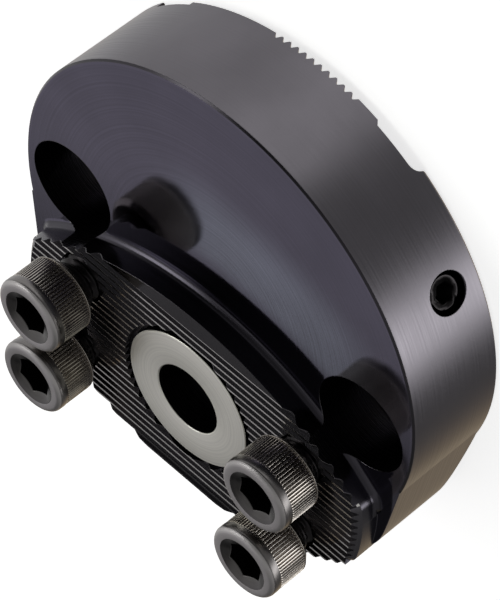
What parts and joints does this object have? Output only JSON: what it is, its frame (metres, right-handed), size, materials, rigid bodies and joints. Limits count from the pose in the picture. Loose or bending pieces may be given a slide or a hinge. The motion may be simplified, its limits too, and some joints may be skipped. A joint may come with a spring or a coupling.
{
  "type": "modular tool adapter",
  "caption": "Round steel adapter disc with an eccentric oval serrated boss, bright coolant ring, knurled clamp screws, counterbored mounting holes and a toothed back.",
  "frame": {"origin": "on the disc's axis, in the plane of the rearmost segments of the back", "axes": "+Z out of the front face, X along the oval boss, +Y from the boss towards the wide side of the disc"},
  "size_m": [0.08, 0.0815, 0.0333],
  "materials": {
    "black_oxide_steel": "black oxide over turned and milled steel",
    "black_oxide_screw": "black oxide, knurled heads",
    "ground_steel": "bare steel, satin"
  },
  "bodies": {
    "root": {"adapter_body": "black_oxide_steel", "coolant_bush": "ground_steel"},
    "clamp_screw_1": {"clamp_screw_1": "black_oxide_screw"},
    "clamp_screw_2": {"clamp_screw_2": "black_oxide_screw"},
    "clamp_screw_3": {"clamp_screw_3": "black_oxide_screw"},
    "clamp_screw_4": {"clamp_screw_4": "black_oxide_screw"},
    "lock_screw": {"lock_screw": "black_oxide_screw"}
  },
  "joints": [
    {"name": "clamp_screw_1_travel", "type": "slide", "parent": "root", "child": "clamp_screw_1", "axis": [0, 0, 1], "range_m": [-0.003, 0.016]},
    {"name": "clamp_screw_2_travel", "type": "slide", "parent": "root", "child": "clamp_screw_2", "axis": [0, 0, 1], "range_m": [-0.002, 0.016]},
    {"name": "clamp_screw_3_travel", "type": "slide", "parent": "root", "child": "clamp_screw_3", "axis": [0, 0, 1], "range_m": [-0.0017, 0.016]},
    {"name": "clamp_screw_4_travel", "type": "slide", "parent": "root", "child": "clamp_screw_4", "axis": [0, 0, 1], "range_m": [-0.0026, 0.016]},
    {"name": "lock_screw_travel", "type": "slide", "parent": "root", "child": "lock_screw", "axis": [0.8358, 0.549, 0], "range_m": [-0.0018, 0.008]}
  ]
}
